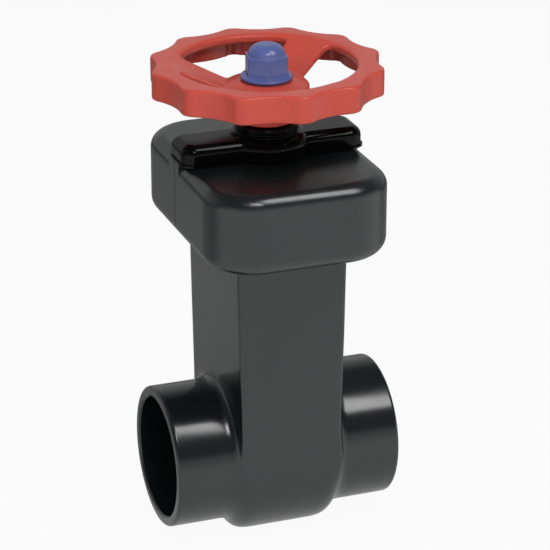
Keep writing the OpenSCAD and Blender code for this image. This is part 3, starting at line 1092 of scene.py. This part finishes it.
@dataclass
class NutCap(SubAssembly):
    """Domed hexagon cap with a flared flange over the wheel nut."""

    base: float = Handwheel.hub_top
    height: float = 18.4
    sides: int = 6
    across_flats: float = 20.0
    hex_turn: float = 17.4
    shoulder_drop: float = 5.5
    dome_radius: float = 9.5
    dome_round: float = 6.0
    flange_radius: float = 13.2
    flange_height: float = 1.7
    flange_lift: float = 0.8
    flange_round: float = 0.8
    neck_radius: float = 12.1
    side_run: float = 0.6
    shoulder_run: float = 0.5
    dome_run: float = 0.4
    flange_run: float = 3.0
    washer_room: float = 11.3
    washer_room_height: float = 1.8
    nut_room: float = 8.65
    nut_room_top: float = 249.9
    margin: float = 1.0
    grid: float = 0.3

    def crown(self, build: FieldSolid, r: Number, hexagon: Number, rise: Number) -> Number:
        """Distance to the hexagon, flat on top, and the dome that stands on it.

        Args:
            build: The solid under construction.
            r: Distance from the axis.
            hexagon: Distance to the upright hexagon.
            rise: Height over the cap's base.

        Returns:
            The distance.
        """
        height = build.size("Cap Height", self.height)
        dome_radius = build.size("Dome Radius", self.dome_radius)
        dome_round = build.size("Dome Rounding", self.dome_round)
        out = (r - dome_radius + dome_round).above(0.0)
        up = (rise - height + dome_round).above(0.0)
        dome = out.hypot(up) - dome_round
        shoulder = rise - height + self.shoulder_drop
        return hexagon.soft_above(shoulder, self.shoulder_run).soft_below(dome, self.dome_run)

    def lip(self, build: FieldSolid, r: Number, rise: Number) -> Number:
        """Distance to the round-edged flange.

        Args:
            build: The solid under construction.
            r: Distance from the axis.
            rise: Height over the cap's base.

        Returns:
            The distance.
        """
        flange = build.size("Flange Radius", self.flange_radius)
        half = self.flange_height / 2
        beside = (r - flange + self.flange_round).above(0.0)
        middle = abs(rise - self.flange_lift - half) - half + self.flange_round
        return beside.hypot(middle.above(0.0)) - self.flange_round

    def moulding(self) -> bpy.types.Object:
        """Make the cap as one soft-edged moulding.

        Returns:
            The mesh object.
        """
        reach = self.flange_radius + self.margin
        low = (-reach, -reach, self.base - self.margin)
        high = (reach, reach, self.base + self.height + self.margin)
        build = FieldSolid("domed_nut_cap", low, high, self.grid)
        base = build.size("Base Height", self.base)
        flats = build.size("Half Across Flats", self.across_flats / 2)
        neck_radius = build.size("Neck Radius", self.neck_radius)
        washer_room = build.size("Washer Room Radius", self.washer_room)
        nut_room = build.size("Nut Room Half Across Flats", self.nut_room)
        x, y, z = build.place()
        r = x.hypot(y)
        rise = z - base
        half_pitch = math.pi / self.sides
        turn = y.math("ARCTAN2", x)
        fold = turn.folded(self.hex_turn + math.degrees(half_pitch), self.sides)
        near = r * fold.math("COSINE")
        next_side = r * (-fold + 2 * half_pitch).math("COSINE")
        hexagon = near.soft_above(next_side, self.side_run) - flats
        crown = self.crown(build, r, hexagon, rise)
        neck_top = self.flange_lift + self.flange_height / 2
        neck = (r - neck_radius).above(rise - neck_top)
        slit = (neck_radius - r).above(rise - self.flange_lift)
        cap = crown.soft_below(self.lip(build, r, rise), self.flange_run)
        cap = cap.below(neck).above(-slit).above(-rise)
        washer = (r - washer_room).above(rise - self.washer_room_height)
        room = washer.below((near - nut_room).above(z - self.nut_room_top))
        return build.solid(cap.above(-room), BLUE_CAP.material())

    def build(self) -> None:
        """Build the cap."""
        self.keep(self.moulding(), Body.WHEEL, Slot.CAP, "nut_cap")


# --- studio -------------------------------------------------------------------
@dataclass(frozen=True)
class Softbox:
    """A soft light that faces the valve, in metres and watts.

    Only where it is mirrored does it show in glossy surfaces.
    """

    name: str
    centre: Point
    size: Span
    power: float
    mirrored: bool = True
    aim_height: float = 0.13

    def hang(self) -> None:
        """Add the light to the scene."""
        lamp = bpy.data.lights.new(self.name, "AREA")
        lamp.shape = "RECTANGLE"
        lamp.size, lamp.size_y = self.size
        lamp.energy = self.power
        holder = bpy.data.objects.new(self.name, lamp)
        bpy.context.scene.collection.objects.link(holder)
        holder.visible_glossy = self.mirrored
        holder.location = self.centre
        aim = Vector((0.0, 0.0, self.aim_height)) - Vector(self.centre)
        holder.rotation_euler = aim.to_track_quat("-Z", "Y").to_euler()


@dataclass
class Studio:
    """Pale floor, grey surround, soft lights and the camera."""

    azimuth: float = 20.303
    elevation: float = 22.577
    distance: float = 1336.995
    target: Point = (4.667, 0.094, 134.85)
    lens: float = 170.07
    sensor: float = 36.0
    roll: float = 0.07
    near: float = 50.0
    far: float = 30000.0
    floor_radius: float = 6000.0
    floor_sides: int = 96
    floor_drop: float = 0.2
    lamps: tuple[Softbox, ...] = (
        Softbox("side_softbox", (0.31, -0.45, 0.91), (0.26, 0.50), 2.8),
        Softbox("front_softbox", (-0.09, -0.70, 0.95), (0.34, 0.26), 2.6),
        Softbox("left_fill", (-0.85, -0.35, 0.62), (0.7, 0.7), 2.6, mirrored=False),
        Softbox("front_fill", (0.10, -1.10, 0.40), (0.7, 0.7), 2.4, mirrored=False),
        Softbox("top_fill", (-0.10, 0.45, 1.05), (0.6, 0.6), 2.0, mirrored=False),
    )
    ceiling_level: float = 0.11
    wall_level: float = 0.50
    strip_level: float = 0.70
    # Parts of a unit direction between which the wall and the strip come in:
    # depth is its part along Y, and rise its part along Z.
    wall_depth: Span = (-0.3, 0.7)
    wall_rise: Span = (0.8, 0.4)
    strip_depth: Span = (0.1, -0.4)
    strip_rise: Span = (0.30, 0.10)

    def floor(self) -> None:
        """Make the pale floor."""
        mesh = bpy.data.meshes.new("studio_floor")
        work = bmesh.new()
        radius = self.floor_radius * MM
        bmesh.ops.create_circle(work, cap_ends=True, segments=self.floor_sides, radius=radius)
        bmesh.ops.translate(work, verts=work.verts, vec=(0.0, 0.0, -self.floor_drop * MM))
        work.to_mesh(mesh)
        work.free()
        PAPER.put_on(mesh)
        piece = bpy.data.objects.new("studio_floor", mesh)
        bpy.context.scene.collection.objects.link(piece)

    def surround(self) -> None:
        """Make the dark room, its grey back wall and the pale strip in front."""
        world = bpy.data.worlds.new("studio_surround")
        bpy.context.scene.world = world
        world.use_nodes = True
        tree = world.node_tree
        coords = tree.nodes.new("ShaderNodeTexCoord")
        split = tree.nodes.new("ShaderNodeSeparateXYZ")
        tree.links.new(coords.outputs["Generated"], split.inputs[0])
        depth, rise = (Number(tree, split.outputs[axis]) for axis in "YZ")
        wall = depth.step(*self.wall_depth) * rise.step(*self.wall_rise)
        strip = depth.step(*self.strip_depth) * rise.step(*self.strip_rise)
        level = wall * (self.wall_level - self.ceiling_level) + self.ceiling_level
        level = level + strip * (self.strip_level - self.ceiling_level)
        tree.links.new(level.socket, tree.nodes["Background"].inputs["Color"])

    def camera(self) -> None:
        """Set the camera."""
        turn, rise = math.radians(self.azimuth), math.radians(self.elevation)
        flat = math.cos(rise)
        back = Vector((-math.sin(turn) * flat, -math.cos(turn) * flat, math.sin(rise)))
        right = Vector((0.0, 0.0, 1.0)).cross(back).normalized()
        up = back.cross(right)
        spin = Matrix.Rotation(math.radians(self.roll), 3, back)
        data = bpy.data.cameras.new("studio_camera")
        data.sensor_width = self.sensor
        data.lens = self.lens
        data.clip_start = self.near * MM
        data.clip_end = self.far * MM
        data.dof.use_dof = False
        holder = bpy.data.objects.new("studio_camera", data)
        bpy.context.scene.collection.objects.link(holder)
        pose = Matrix((spin @ right, spin @ up, back)).transposed().to_4x4()
        pose.translation = (Vector(self.target) + back * self.distance) * MM
        holder.matrix_world = pose
        bpy.context.scene.camera = holder

    def build(self) -> None:
        """Build the set."""
        self.floor()
        self.surround()
        for lamp in self.lamps:
            lamp.hang()
        self.camera()
        bpy.context.scene.view_settings.view_transform = "Standard"


def main() -> None:
    """Build the valve and its set in order."""
    logging.basicConfig(level=logging.INFO, format="%(message)s")
    Studio().build()
    for part in (ValveBody(), ClampCover(), Bonnet(), Handwheel(), NutCap()):
        part.build()
        log.info("%s built", type(part).__name__)


if __name__ == "__main__":
    main()
